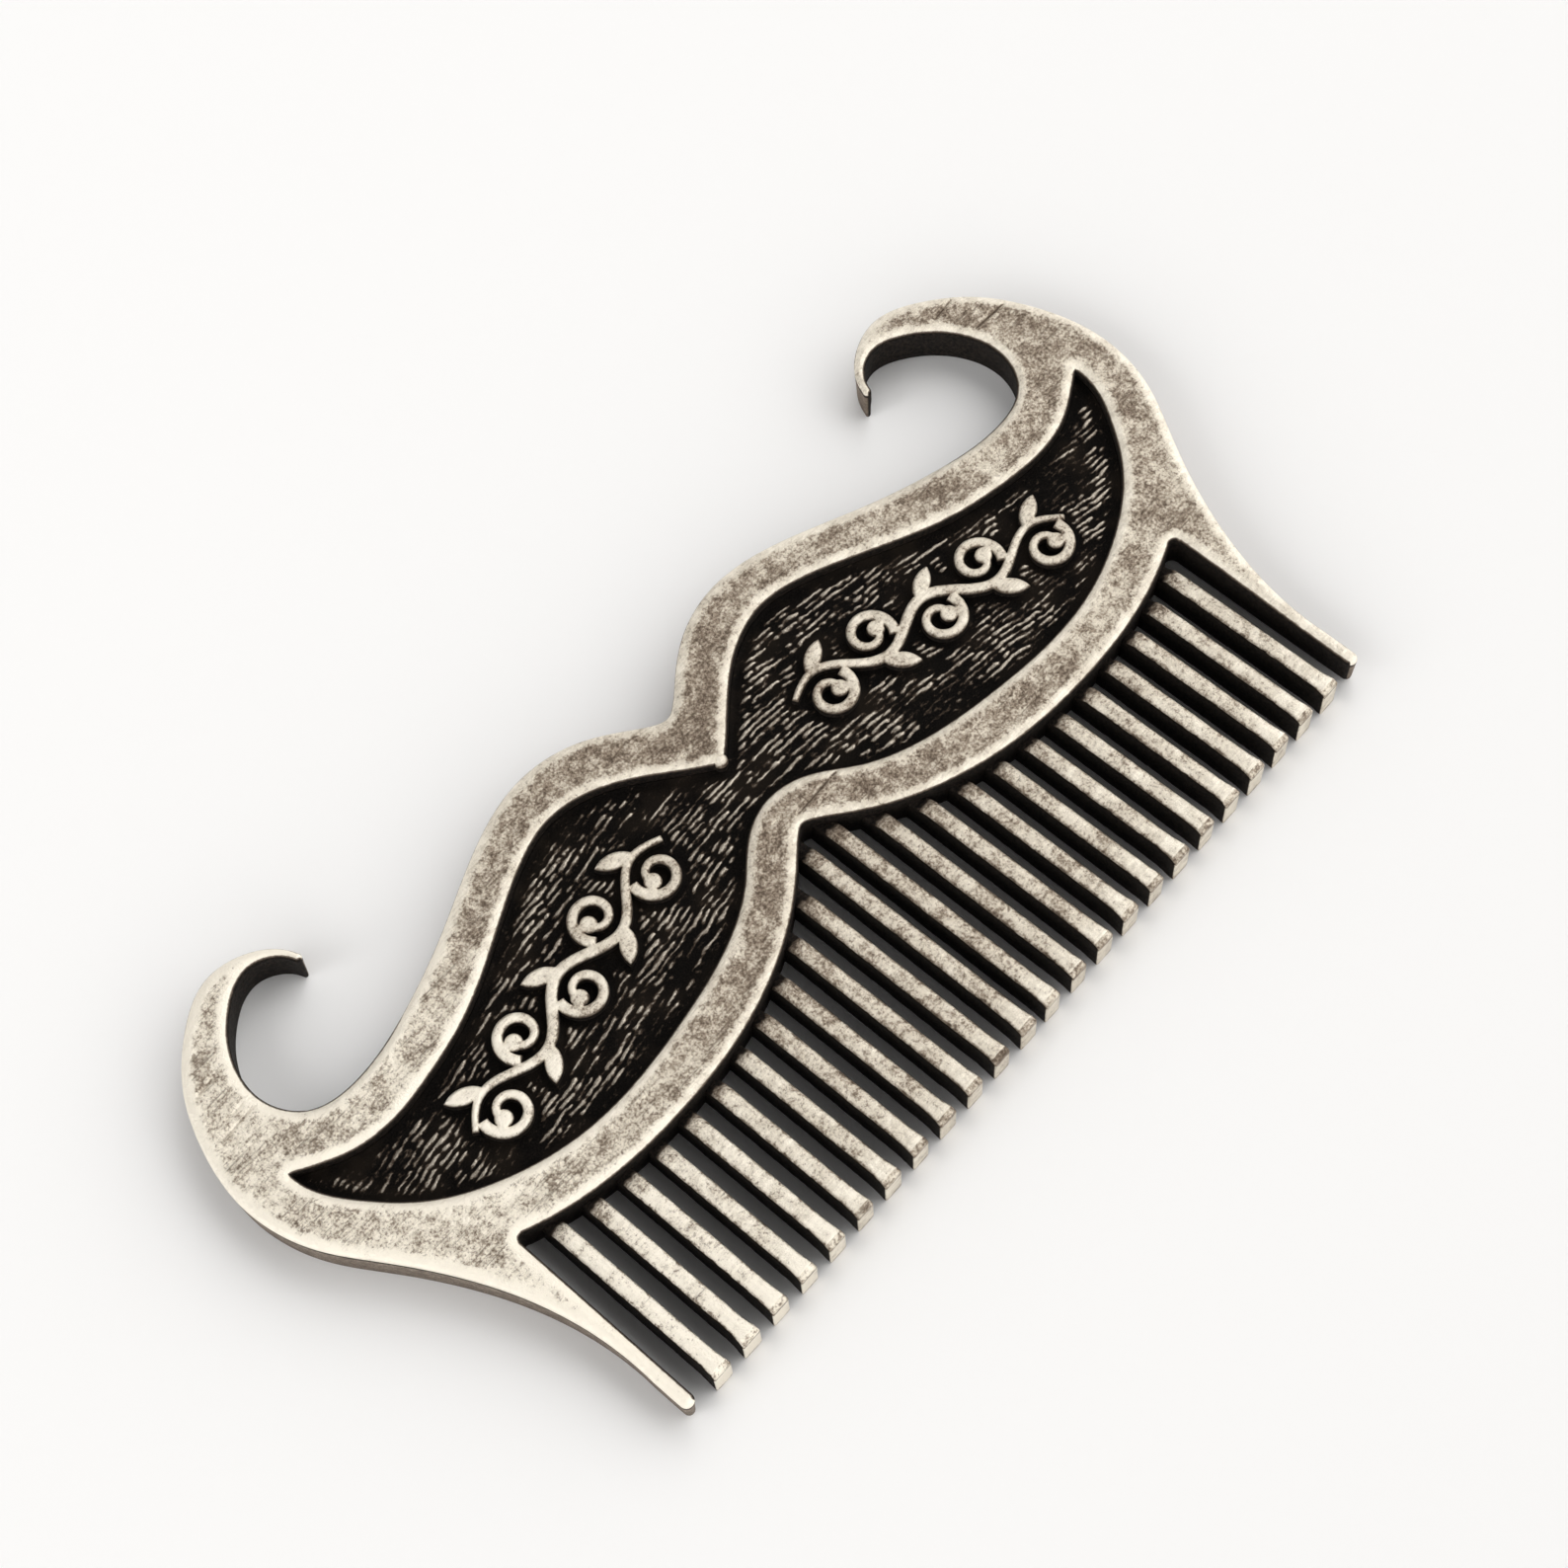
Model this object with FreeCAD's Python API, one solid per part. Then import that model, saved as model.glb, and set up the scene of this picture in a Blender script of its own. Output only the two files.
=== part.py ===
import FreeCAD, Part
import math
import os

# Moustache-shaped beard comb, a flat one-piece casting lying on its back, in millimetres.
# X runs along the tine row, Y from the tine tips to the moustache, and Z up out of the decorated face.
# Sketch heights are measured from the line of the tine tips. The finished pieces are moved so that
# the origin is the middle of the comb's footprint, on the flat back.

V = FreeCAD.Vector

# Overall
OVERALL_WIDTH = 87.8            # across the outsides of the two hooks
OVERALL_HEIGHT = 44.0           # from the tine tips to the tops of the hooks
RIM_THICKNESS = 3.6             # moustache rim and hooks, back to raised face

# Tines
TINE_PITCH = 2.75
TINES_PER_SIDE = 12
FIRST_TINE_X = 1.25             # the gap on the centre line is a little narrower than the others
TINE_WIDTH = 1.3
TINE_THICKNESS = 2.95
TINE_EDGE_CHAMFER = 0.15
TINE_TIP_BEVEL = 0.4
TINE_STOCK_TOP = 22.0           # any height inside the moustache: the rim trims each tine to length

# Guard tines, one at each end of the row
GUARD_INNER_X = 33.8
GUARD_TIP_WIDTH = 1.05
GUARD_TOP = 15.2                # height where the guard tine ends and the hook's flank begins

# Recessed field and its ornament
FIELD_DEPTH = 1.1               # from the rim's face down to the field
FIELD_LEVEL = RIM_THICKNESS - FIELD_DEPTH
ORNAMENT_RISE = 0.8             # from the field up to the top of the ornament
BEAD_RADIUS = 0.5
BEAD_Y = 28.5                   # centre of the bead, at the point of the rim's V
BEAD_TOP = RIM_THICKNESS - 0.1

# Half outlines for the +X side. Each is one smooth curve through a few points.
NOTCH_TO_HOOK_TIP = [(0, 33.5), (1.0, 33.9), (2.5, 35.05), (5.5, 37.05), (10.2, 38.1), (15.9, 36.8),
                     (21.9, 34.15), (27.8, 32.05), (33.1, 31.2), (36.3, 32.05), (37.9, 34.9),
                     (37.0, 38.8), (34.7, 41.3), (32.1, 42.3), (30.5, 41.65), (29.6, 40.3)]
HOOK_TIP = (29.25, 40.1)
HOOK_TO_GUARD_TIP = [(29.05, 40.6), (29.8, 42.0), (31.5, 43.35), (34.4, OVERALL_HEIGHT), (37.9, 42.4),
                     (40.85, 39.5), (42.85, 35.6), (OVERALL_WIDTH / 2, 30.6), (42.8, 25.1),
                     (40.5, 21.1), (38.3, 17.25), (36.3, 12.6), (35.2, 8.4),
                     (GUARD_INNER_X + GUARD_TIP_WIDTH, 3.1)]
ROOT_LINE = [(0, 20.9), (0.5, 20.7), (2, 19.55), (5, 17.35), (8.9, 15.4), (13.8, 13.95),
             (20.7, 13.3), (27.6, 13.85), (33.1, 15.5)]
ROOT_CORNER = (33.6, 15.55)
FIELD_TOP = [(0, 28.1), (2, 29.6), (5, 32.05), (8, 33.75), (11, 34.35), (14.9, 33.4), (19.9, 31.0),
             (24.8, 28.8), (29.7, 27.6), (33.2, 27.25), (36.7, 27.85), (38.8, 28.9), (40.3, 29.8)]
FIELD_BOTTOM = [(0, 24.1), (3, 23.25), (5.9, 21.05), (9.9, 19.05), (15.8, 17.7), (21.7, 17.1),
                (26.6, 17.5), (31.6, 19.2), (35.8, 21.95), (38.5, 25.2), (39.95, 27.8), (40.3, 29.8)]

# Leaf scroll in each lobe of the field, drawn about its own middle and then turned to follow the lobe.
SCROLL_CENTRE = (18.6, 25.2)
SCROLL_TURN = -12.0             # degrees, on the +X side
STEM_SWING = 1.1                # half height of the stem's wave
STEM_HALF_WAVE = 4.8
STEM_HALF_WAVES = 5
STEM_WIDTH = 0.85               # at the middle of the stem
STEM_END_SHARE = 0.55           # the stem's ends are this share of its middle width
STEM_STEPS_PER_WAVE = 8
CURL_START_ANGLE = 35.0         # degrees, where each curl leaves the stem
CURL_STEPS = 20
CURL_START_RADIUS = 1.9
CURL_END_RADIUS = 0.7
CURL_TURN = 400.0               # degrees swept by each curl
CURL_DROP = 1.05                # from the stem's middle line to a curl's centre
CURL_WIDTH_START = 0.85
CURL_WIDTH_END = 0.55
CURL_BALL_RADIUS = 0.65
LEAF_LENGTH = 2.9
LEAF_WIDTH = 1.25
LEAF_FOOT_BACK = 0.5            # from the stem's crest back along the stem to the leaf's foot
LEAF_ANGLE = 38.0               # degrees between the leaf and the scroll's middle line
PATH_NUDGE = 0.001              # share of a path used to find its direction at a point

TO_ORIGIN = V(0, -OVERALL_HEIGHT / 2, 0)


def smooth(points):
    """One smooth curve through the points."""
    curve = Part.BSplineCurve()
    curve.interpolate(Points=[V(x, y, 0) for x, y in points])
    return curve.toShape()


def across(half_points):
    """The whole curve, both sides of the centre line, from a half that starts on it."""
    left = [(-x, y) for x, y in reversed(half_points[1:])]
    return smooth(left + half_points)


def straight(start, end):
    return Part.makeLine(V(start[0], start[1], 0), V(end[0], end[1], 0))


def arc(start, middle, end):
    return Part.Arc(V(*start, 0), V(*middle, 0), V(*end, 0)).toShape()


def prism(edges, bottom, top):
    """Closed outline, given as edges in any order, raised between two heights."""
    wire = Part.Wire(Part.__sortEdges__(edges))
    face = Part.Face(wire)
    face.translate(V(0, 0, bottom))
    return face.extrude(V(0, 0, top - bottom))


def with_mirror(half_edges):
    """The +X side's edges and their mirror images across the centre line."""
    return half_edges + [edge.mirror(V(0, 0, 0), V(1, 0, 0)) for edge in half_edges]


def body_blank():
    """The filled moustache with its hooks and guard tines, down to the line the tines grow from."""
    guard_middle = GUARD_INNER_X + GUARD_TIP_WIDTH / 2
    tip_start = (GUARD_INNER_X + GUARD_TIP_WIDTH, GUARD_TIP_WIDTH / 2)
    tip_end = (GUARD_INNER_X, GUARD_TIP_WIDTH / 2)
    guard_top = (GUARD_INNER_X, GUARD_TOP)
    side = [arc(NOTCH_TO_HOOK_TIP[-1], HOOK_TIP, HOOK_TO_GUARD_TIP[0]),
            smooth(HOOK_TO_GUARD_TIP),
            straight(HOOK_TO_GUARD_TIP[-1], tip_start),
            arc(tip_start, (guard_middle, 0), tip_end),
            straight(tip_end, guard_top),
            arc(guard_top, ROOT_CORNER, ROOT_LINE[-1])]
    outline = [across(NOTCH_TO_HOOK_TIP), across(ROOT_LINE)] + with_mirror(side)
    return prism(outline, 0, RIM_THICKNESS)


def field_blank(bottom, top):
    """The inside of the rim as a solid between two heights."""
    return prism([across(FIELD_BOTTOM)] + with_mirror([smooth(FIELD_TOP)]), bottom, top)


def guard_zone():
    """The space on the +X side that holds the guard tine and nothing else of the body."""
    return Part.makeBox(OVERALL_WIDTH, GUARD_TOP, RIM_THICKNESS, V(GUARD_INNER_X, 0, 0))


def tine(x, blank):
    """One inner tine: a bar with softened face edges and a bevelled tip, trimmed by the rim."""
    half = TINE_WIDTH / 2
    shoulder = half - TINE_EDGE_CHAMFER
    side_top = TINE_THICKNESS - TINE_EDGE_CHAMFER
    section = [(-half, 0), (half, 0), (half, side_top), (shoulder, TINE_THICKNESS),
               (-shoulder, TINE_THICKNESS), (-half, side_top), (-half, 0)]
    face = Part.Face(Part.makePolygon([V(x + dx, 0, z) for dx, z in section]))
    bar = face.extrude(V(0, TINE_STOCK_TOP, 0))
    bevel_profile = [V(x - half, 0, TINE_THICKNESS - TINE_TIP_BEVEL), V(x - half, 0, TINE_THICKNESS),
                     V(x - half, TINE_TIP_BEVEL, TINE_THICKNESS),
                     V(x - half, 0, TINE_THICKNESS - TINE_TIP_BEVEL)]
    bevel = Part.Face(Part.makePolygon(bevel_profile)).extrude(V(TINE_WIDTH, 0, 0))
    return bar.cut(bevel).cut(blank)


def ribbon(path, width_at, bottom, top, steps):
    """A raised band that follows path(t) for t from 0 to 1, with its own width at each t."""
    left = []
    right = []
    for i in range(steps + 1):
        t = i / steps
        x, y = path(t)
        ahead_x, ahead_y = path(min(t + PATH_NUDGE, 1))
        behind_x, behind_y = path(max(t - PATH_NUDGE, 0))
        dx = ahead_x - behind_x
        dy = ahead_y - behind_y
        reach = width_at(t) / 2 / math.hypot(dx, dy)
        left.append((x - dy * reach, y + dx * reach))
        right.append((x + dy * reach, y - dx * reach))
    edges = [smooth(left), straight(left[-1], right[-1]), smooth(right), straight(right[0], left[0])]
    return prism(edges, bottom, top)


def disc(x, y, radius, bottom, top):
    return Part.makeCylinder(radius, top - bottom, V(x, y, bottom))


def leaf(foot, direction, bottom, top):
    """An almond leaf that grows from its foot along a direction in degrees."""
    ux = math.cos(math.radians(direction))
    uy = math.sin(math.radians(direction))
    tip = (foot[0] + ux * LEAF_LENGTH, foot[1] + uy * LEAF_LENGTH)
    middle = (foot[0] + ux * LEAF_LENGTH / 2, foot[1] + uy * LEAF_LENGTH / 2)
    side = LEAF_WIDTH / 2
    one = arc(foot, (middle[0] - uy * side, middle[1] + ux * side), tip)
    other = arc(foot, (middle[0] + uy * side, middle[1] - ux * side), tip)
    return prism([one, other], bottom, top)


def leaf_scroll(bottom, top):
    """A waving stem with a ball-ended curl in each hollow and a leaf outside each crest."""
    length = STEM_HALF_WAVE * STEM_HALF_WAVES

    def stem(t):
        u = (t - 0.5) * length
        return u, STEM_SWING * math.sin(math.pi * t * STEM_HALF_WAVES)

    def stem_width(t):
        return STEM_WIDTH * (STEM_END_SHARE + (1 - STEM_END_SHARE) * math.sin(math.pi * t))

    pieces = [ribbon(stem, stem_width, bottom, top, STEM_STEPS_PER_WAVE * STEM_HALF_WAVES)]
    for i in range(STEM_HALF_WAVES):
        side = 1 if i % 2 == 0 else -1
        crest_x = (i + 0.5 - STEM_HALF_WAVES / 2) * STEM_HALF_WAVE
        centre_y = -side * CURL_DROP

        def curl(t):
            angle = math.radians(CURL_START_ANGLE - CURL_TURN * t)
            radius = CURL_START_RADIUS * (CURL_END_RADIUS / CURL_START_RADIUS) ** t
            return crest_x + radius * math.cos(angle), centre_y + side * radius * math.sin(angle)

        def curl_width(t):
            return CURL_WIDTH_START + (CURL_WIDTH_END - CURL_WIDTH_START) * t

        pieces.append(ribbon(curl, curl_width, bottom, top, CURL_STEPS))
        ball_x, ball_y = curl(1)
        pieces.append(disc(ball_x, ball_y, CURL_BALL_RADIUS, bottom, top))
        foot = (crest_x - LEAF_FOOT_BACK, side * STEM_SWING)
        pieces.append(leaf(foot, side * LEAF_ANGLE, bottom, top))
    scroll = pieces[0]
    for piece in pieces[1:]:
        scroll = scroll.fuse(piece)
    return scroll.removeSplitter()


def save(name, shape):
    piece = shape.copy()
    piece.translate(TO_ORIGIN)
    piece.exportStep(os.path.join("parts", name + ".step"))


def mirror_to_left(shape):
    return shape.mirror(V(0, 0, 0), V(1, 0, 0))


os.makedirs("parts", exist_ok=True)

blank = body_blank()
right_guard_zone = guard_zone()
left_guard_zone = mirror_to_left(right_guard_zone)
bead = disc(0, BEAD_Y, BEAD_RADIUS, FIELD_LEVEL, BEAD_TOP)
bead_hole = disc(0, BEAD_Y, BEAD_RADIUS, FIELD_LEVEL, RIM_THICKNESS)
rim = blank.cut(field_blank(0, RIM_THICKNESS)).cut(bead_hole)
save("moustache_rim", rim.cut(right_guard_zone).cut(left_guard_zone))
save("field_floor", field_blank(0, FIELD_LEVEL))
save("centre_bead", bead)

guard = blank.common(right_guard_zone)
save("right_guard_tine", guard)
save("left_guard_tine", mirror_to_left(guard))

scroll = leaf_scroll(FIELD_LEVEL, FIELD_LEVEL + ORNAMENT_RISE)
scroll.rotate(V(0, 0, 0), V(0, 0, 1), SCROLL_TURN)
scroll.translate(V(SCROLL_CENTRE[0], SCROLL_CENTRE[1], 0))
save("right_leaf_scroll", scroll)
save("left_leaf_scroll", mirror_to_left(scroll))

for i in range(TINES_PER_SIDE):
    right_tine = tine(FIRST_TINE_X + i * TINE_PITCH, blank)
    save("right_tine_%02d" % (i + 1), right_tine)
    save("left_tine_%02d" % (i + 1), mirror_to_left(right_tine))
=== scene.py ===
"""Beard comb: the worn, antique-silver looks of the casting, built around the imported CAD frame."""
import math

import bpy
import numpy as np
from mathutils import Matrix, Vector, geometry, kdtree, noise


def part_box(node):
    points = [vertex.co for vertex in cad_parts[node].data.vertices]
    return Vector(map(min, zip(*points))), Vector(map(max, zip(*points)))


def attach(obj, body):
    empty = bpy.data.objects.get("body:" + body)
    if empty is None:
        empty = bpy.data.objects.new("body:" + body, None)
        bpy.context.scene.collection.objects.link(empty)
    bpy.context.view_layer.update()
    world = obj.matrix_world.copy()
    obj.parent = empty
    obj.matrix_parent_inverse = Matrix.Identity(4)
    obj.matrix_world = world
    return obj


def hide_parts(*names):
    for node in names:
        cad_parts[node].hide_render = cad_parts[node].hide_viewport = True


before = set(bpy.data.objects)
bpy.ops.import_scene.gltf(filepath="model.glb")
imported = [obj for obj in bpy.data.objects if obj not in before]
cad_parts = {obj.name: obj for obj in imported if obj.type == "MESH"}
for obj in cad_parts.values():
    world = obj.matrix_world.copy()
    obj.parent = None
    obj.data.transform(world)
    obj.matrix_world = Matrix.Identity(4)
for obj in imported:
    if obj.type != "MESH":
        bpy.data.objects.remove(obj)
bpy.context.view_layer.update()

MM = 0.001               # the helpers below work in millimetres, and new_piece() turns them into metres
BODY = "root"
TINES_PER_SIDE = 12
SIDES = ("left", "right")

# Sizes read from the frame, in millimetres
RIM_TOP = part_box("moustache_rim")[1].z / MM
FIELD_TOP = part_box("field_floor")[1].z / MM
SCROLL_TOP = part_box("left_leaf_scroll")[1].z / MM
TINE_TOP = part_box("left_tine_06")[1].z / MM
TIP_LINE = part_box("left_tine_06")[0].y / MM
GUARD_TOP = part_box("right_guard_tine")[1].y / MM
GUARD_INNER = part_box("right_guard_tine")[0].x / MM


def smooth_step(value, low, high):
    """0 below low, 1 above high, and an even S between them."""
    t = np.clip((np.asarray(value, float) - low) / (high - low), 0, 1)
    return t * t * (3 - 2 * t)


def noise_at(points, wavelength, seed):
    """Smooth noise from -1 to 1 at each point, with its features about one wavelength apart."""
    stretched = np.asarray(points, float) / wavelength + seed * 17.3
    return np.array([noise.noise(p) for p in stretched.tolist()])


def rough_noise_at(points, wavelength, seed):
    """Noise with two finer layers on top."""
    total = np.zeros(len(points))
    for octave in range(3):
        total += noise_at(points, wavelength / 2 ** octave, seed + octave) / 2 ** octave
    return total


def grounded(points):
    """Flat points as places in space, at height 0."""
    return np.column_stack([points, np.zeros(len(points))])


# ---------------------------------------------------------------- outlines

OUTLINE_STEP = 0.15              # between samples along an outline
SHARP_TURN = math.radians(58)    # an outline that turns by more than this keeps a sharp corner
CURVE_STEPS = 8                  # pieces that a curve is cut into between two of its points
SAME_HEIGHT = 0.002
ROUNDING_TRIES = 8
GROOVE_ROWS = (-1.2, -0.8, -0.4, 0.0, 0.4, 0.8, 1.2)    # rows of points along a groove, in grid steps


def flat_face_loops(nodes, height):
    """The loops that bound the nodes' flat faces at one height. An edge that two nodes share drops out."""
    directed = set()
    for name in nodes:
        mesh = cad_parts[name].data
        mesh.calc_loop_triangles()
        corners = [tuple(round(c / MM, 3) for c in vertex.co) for vertex in mesh.vertices]
        for triangle in mesh.loop_triangles:
            a, b, c = (corners[i] for i in triangle.vertices)
            if all(abs(p[2] - height) < SAME_HEIGHT for p in (a, b, c)):
                directed.update([(a[:2], b[:2]), (b[:2], c[:2]), (c[:2], a[:2])])
    follow = {a: b for a, b in directed if (b, a) not in directed}
    loops = []
    while follow:
        start, here = follow.popitem()
        loop = [start]
        while here != start:
            loop.append(here)
            here = follow.pop(here)
        loops.append(np.array(loop))
    return sorted(loops, key=len, reverse=True)


def curve_through(points):
    """A fine polyline along a centripetal Catmull-Rom curve through an open run of points."""
    first = 2 * points[0] - points[1]
    last = 2 * points[-1] - points[-2]
    p = np.vstack([first, points, last])
    gaps = np.sqrt(np.linalg.norm(np.diff(p, axis=0), axis=1)) + 1e-9
    knots = np.concatenate([[0], np.cumsum(gaps)])
    fine = [points[:1]]
    for i in range(1, len(p) - 2):
        k0, k1, k2, k3 = knots[i - 1:i + 3]
        t = np.linspace(k1, k2, CURVE_STEPS + 1)[1:, None]
        a1 = (k1 - t) / (k1 - k0) * p[i - 1] + (t - k0) / (k1 - k0) * p[i]
        a2 = (k2 - t) / (k2 - k1) * p[i] + (t - k1) / (k2 - k1) * p[i + 1]
        a3 = (k3 - t) / (k3 - k2) * p[i + 1] + (t - k2) / (k3 - k2) * p[i + 2]
        b1 = (k2 - t) / (k2 - k0) * a1 + (t - k0) / (k2 - k0) * a2
        b2 = (k3 - t) / (k3 - k1) * a2 + (t - k1) / (k3 - k1) * a3
        fine.append((k2 - t) / (k2 - k1) * b1 + (t - k1) / (k2 - k1) * b2)
    return np.vstack(fine)


def evenly_spaced(run, step):
    """Points along a polyline at about one step apart, with both ends kept."""
    lengths = np.concatenate([[0], np.cumsum(np.linalg.norm(np.diff(run, axis=0), axis=1))])
    count = max(2, round(lengths[-1] / step))
    at = np.linspace(0, lengths[-1], count + 1)
    return np.stack([np.interp(at, lengths, run[:, k]) for k in (0, 1)], axis=1)


def resampled(loop, step):
    """A closed loop as even samples of a smooth curve, with its sharp corners kept sharp."""
    before = loop - np.roll(loop, 1, axis=0)
    after = np.roll(loop, -1, axis=0) - loop
    turn = np.abs(np.arctan2(before[:, 0] * after[:, 1] - before[:, 1] * after[:, 0],
                             (before * after).sum(axis=1)))
    corners = np.flatnonzero(turn > SHARP_TURN)
    if len(corners) == 0:
        wrapped = np.vstack([loop[-2:], loop, loop[:3]])
        surplus = 2 * CURVE_STEPS
        return evenly_spaced(curve_through(wrapped)[surplus:-surplus], step)[:-1]
    samples = []
    for start, end in zip(corners, np.roll(corners, -1)):
        count = (end - start) % len(loop) or len(loop)
        run = loop[(start + np.arange(count + 1)) % len(loop)]
        samples.append(evenly_spaced(curve_through(run), step)[:-1])
    return np.vstack(samples)


class Outline:
    """Closed loops with the material on their left, the inward direction at each sample, and distances."""

    def __init__(self, loops, step):
        self.loops = [resampled(loop, step) for loop in loops]
        self.points = np.vstack(self.loops)
        starts = np.cumsum([0] + [len(loop) for loop in self.loops[:-1]])
        self.after = np.concatenate([start + (np.arange(len(loop)) + 1) % len(loop)
                                     for start, loop in zip(starts, self.loops)])
        self.before = np.empty_like(self.after)
        self.before[self.after] = np.arange(len(self.after))
        self.tree = kdtree.KDTree(len(self.points))
        for i, (x, y) in enumerate(self.points):
            self.tree.insert((x, y, 0), i)
        self.tree.balance()
        along = self.points[self.after] - self.points[self.before]
        along /= np.linalg.norm(along, axis=1)[:, None]
        self.inward = np.stack([-along[:, 1], along[:, 0]], axis=1)

    def snap(self, target):
        """Moves the nearest sample onto a point and gives its index."""
        index = self.tree.find((target[0], target[1], 0))[1]
        self.points[index] = target
        return index

    def distance(self, points):
        """How far each point is from the nearest edge, and which sample is nearest."""
        points = np.asarray(points, float).reshape(-1, 2)
        near = np.array([self.tree.find((x, y, 0))[1] for x, y in points.tolist()], int)
        best = np.full(len(points), np.inf)
        for other in (self.after[near], self.before[near]):
            a = self.points[near]
            edge = self.points[other] - a
            t = ((points - a) * edge).sum(axis=1) / np.maximum((edge * edge).sum(axis=1), 1e-12)
            gap = np.linalg.norm(points - a - np.clip(t, 0, 1)[:, None] * edge, axis=1)
            best = np.minimum(best, gap)
        return best, near

    def inside(self, points):
        """True where a point is in the material, by counting the edges to its right."""
        points = np.asarray(points, float).reshape(-1, 2)
        a = self.points
        b = self.points[self.after]
        result = np.zeros(len(points), bool)
        batch = 2000
        for start in range(0, len(points), batch):
            x = points[start:start + batch, 0][:, None]
            y = points[start:start + batch, 1][:, None]
            spans = (a[:, 1] > y) != (b[:, 1] > y)
            with np.errstate(divide="ignore", invalid="ignore"):
                crossing = a[:, 0] + (y - a[:, 1]) * (b[:, 0] - a[:, 0]) / (b[:, 1] - a[:, 1])
            result[start:start + batch] = (spans & (crossing > x)).sum(axis=1) % 2 == 1
        return result

    def room(self, limit):
        """How far each sample can move straight in before another edge is as near."""
        reach = np.zeros(len(self.points))
        open_end = np.ones(len(self.points), bool)
        for t in np.linspace(limit / ROUNDING_TRIES, limit, ROUNDING_TRIES):
            gap = self.distance(self.points + self.inward * t)[0]
            open_end &= gap > 0.95 * t
            reach[open_end] = t
        return reach


def thinned(points, cell):
    """At most one point in each small square cell."""
    keys = np.floor(points / cell).astype(int)
    keep = np.unique(keys, axis=0, return_index=True)[1]
    return points[np.sort(keep)]


def turned(points, triangles, up):
    """Flat triangles, all wound to face up or all to face down."""
    a, b, c = (points[triangles[:, k]] for k in range(3))
    facing_up = (b[:, 0] - a[:, 0]) * (c[:, 1] - a[:, 1]) > (b[:, 1] - a[:, 1]) * (c[:, 0] - a[:, 0])
    return np.where((facing_up == up)[:, None], triangles, triangles[:, ::-1])


def segment_gap(points, start, end):
    """How far each point is from a straight segment."""
    start = np.array(start, float)
    edge = np.array(end, float) - start
    t = np.clip((points - start) @ edge / (edge @ edge), 0, 1)
    return np.linalg.norm(points - start - t[:, None] * edge, axis=1)


def triangulated(points, edges):
    """Triangles over flat points that keep the given edges."""
    solved = geometry.delaunay_2d_cdt([Vector(p) for p in points.tolist()], edges, [], 0, 1e-7)
    if len(solved[0]) != len(points):
        raise ValueError("an outline crosses itself")
    return np.array(solved[2])


def inner_points(outline, rings, spacing, stretch, grooves):
    """Points inside an outline: rings that follow its edges, an even grid, and closer rows along grooves."""
    low = outline.points.min(axis=0)
    high = outline.points.max(axis=0)
    layers = []
    for ring in rings:
        layer = outline.points + outline.inward * ring
        layer = layer[outline.distance(layer)[0] > 0.97 * ring]
        layers.append(thinned(layer, 0.6 * min(OUTLINE_STEP, spacing)))
    xs = np.arange(low[0], high[0], spacing * stretch)
    ys = np.arange(low[1], high[1], spacing * math.sqrt(3) / 2)
    grid = np.array([(x + spacing * stretch / 2 * (row % 2), y) for row, y in enumerate(ys) for x in xs])
    grid = grid[outline.inside(grid)]
    clear = rings[-1] + 0.55 * spacing
    grid = grid[outline.distance(grid)[0] > clear]
    for start, end in grooves:
        grid = grid[segment_gap(grid, start, end) > 1.5 * spacing]
        run = np.linspace(start, end, round(math.dist(start, end) / (0.5 * spacing)))
        for off in GROOVE_ROWS:
            row = run + (0, off * spacing)
            row = row[outline.inside(row)]
            grid = np.vstack([grid, row[outline.distance(row)[0] > clear]])
    return np.vstack(layers + [grid])


def fill(outline, rings, spacing, stretch=1.0, cuts=(), grooves=()):
    """Triangles that fill an outline, whose samples come first among the points.

    Stretch lengthens the grid along X, and a cut is a straight line of edges between two samples."""
    inner = inner_points(outline, rings, spacing, stretch, grooves)
    points = [outline.points]
    edges = [(i, int(j)) for i, j in enumerate(outline.after)]
    count = len(outline.points)
    for first, last in cuts:
        a = outline.points[first]
        run = outline.points[last] - a
        length = np.linalg.norm(run)
        steps = max(2, round(length / spacing))
        line = a + run * np.linspace(0, 1, steps + 1)[1:-1, None]
        off = inner - a
        along = off @ run / length
        beside = np.abs(off[:, 0] * run[1] - off[:, 1] * run[0]) / length
        inner = inner[(beside >= 0.3 * spacing) | (along <= -spacing) | (along >= length + spacing)]
        chain = [first] + list(range(count, count + len(line))) + [last]
        edges += list(zip(chain, chain[1:]))
        points.append(line)
        count += len(line)
    points = np.vstack(points + [inner])
    triangles = triangulated(points, edges)
    rim_only = (triangles < len(outline.points)).all(axis=1)
    keep = ~rim_only
    keep[rim_only] = outline.inside(points[triangles[rim_only]].mean(axis=1))
    return points, turned(points, triangles[keep], up=True)


def flat_back(outline, cuts):
    """Triangles over an outline's own samples, facing down."""
    edges = [(i, int(j)) for i, j in enumerate(outline.after)] + [tuple(cut) for cut in cuts]
    back = triangulated(outline.points, edges)
    back = back[outline.inside(outline.points[back].mean(axis=1))]
    return turned(outline.points, back, up=False)


# ---------------------------------------------------------------- meshes

def vertex_normals(points, triangles):
    """Area-weighted normals."""
    a, b, c = (points[triangles[:, k]] for k in range(3))
    face = np.cross(b - a, c - a)
    normals = np.zeros_like(points)
    for k in range(3):
        np.add.at(normals, triangles[:, k], face)
    return normals / np.maximum(np.linalg.norm(normals, axis=1), 1e-12)[:, None]


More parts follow.
